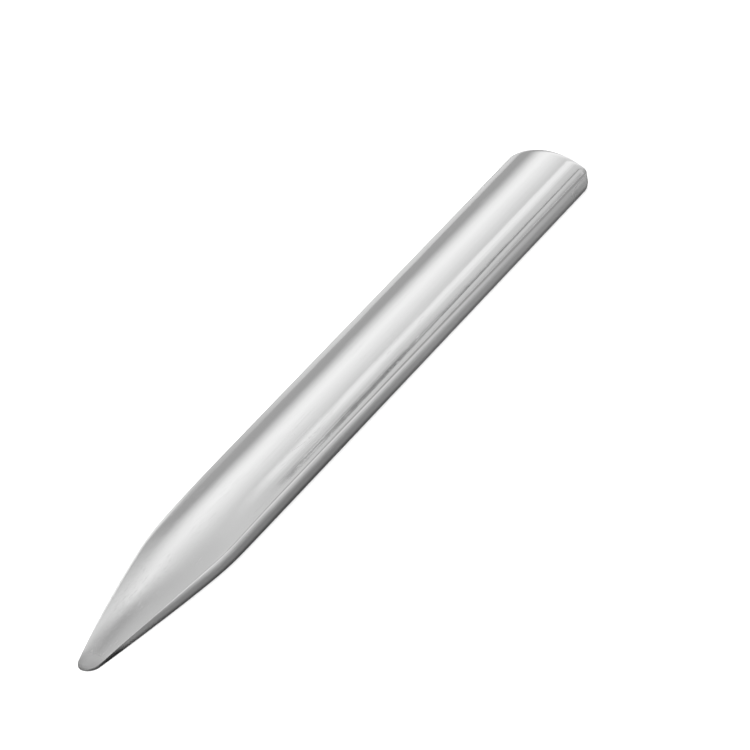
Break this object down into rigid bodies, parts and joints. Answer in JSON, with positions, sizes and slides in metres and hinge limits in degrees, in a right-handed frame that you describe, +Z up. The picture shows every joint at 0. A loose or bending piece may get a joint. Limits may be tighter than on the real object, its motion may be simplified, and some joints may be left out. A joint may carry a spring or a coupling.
{
  "type": "bone folder",
  "caption": "Polished steel bone folder: an arched strip blade with a square butt, tapering and flattening to a thin rounded point for creasing paper and leather.",
  "frame": {"origin": "under the middle of the blade, on the surface that its side walls' edges lie on", "axes": "+Y along the blade from the point to the square butt, +Z up through the crown of the arch, +X across the blade"},
  "size_m": [0.015, 0.15, 0.006],
  "materials": {
    "polished_steel": "polished, with fine marks along the blade"
  },
  "bodies": {
    "root": {"folder_blade": "polished_steel"}
  },
  "joints": []
}
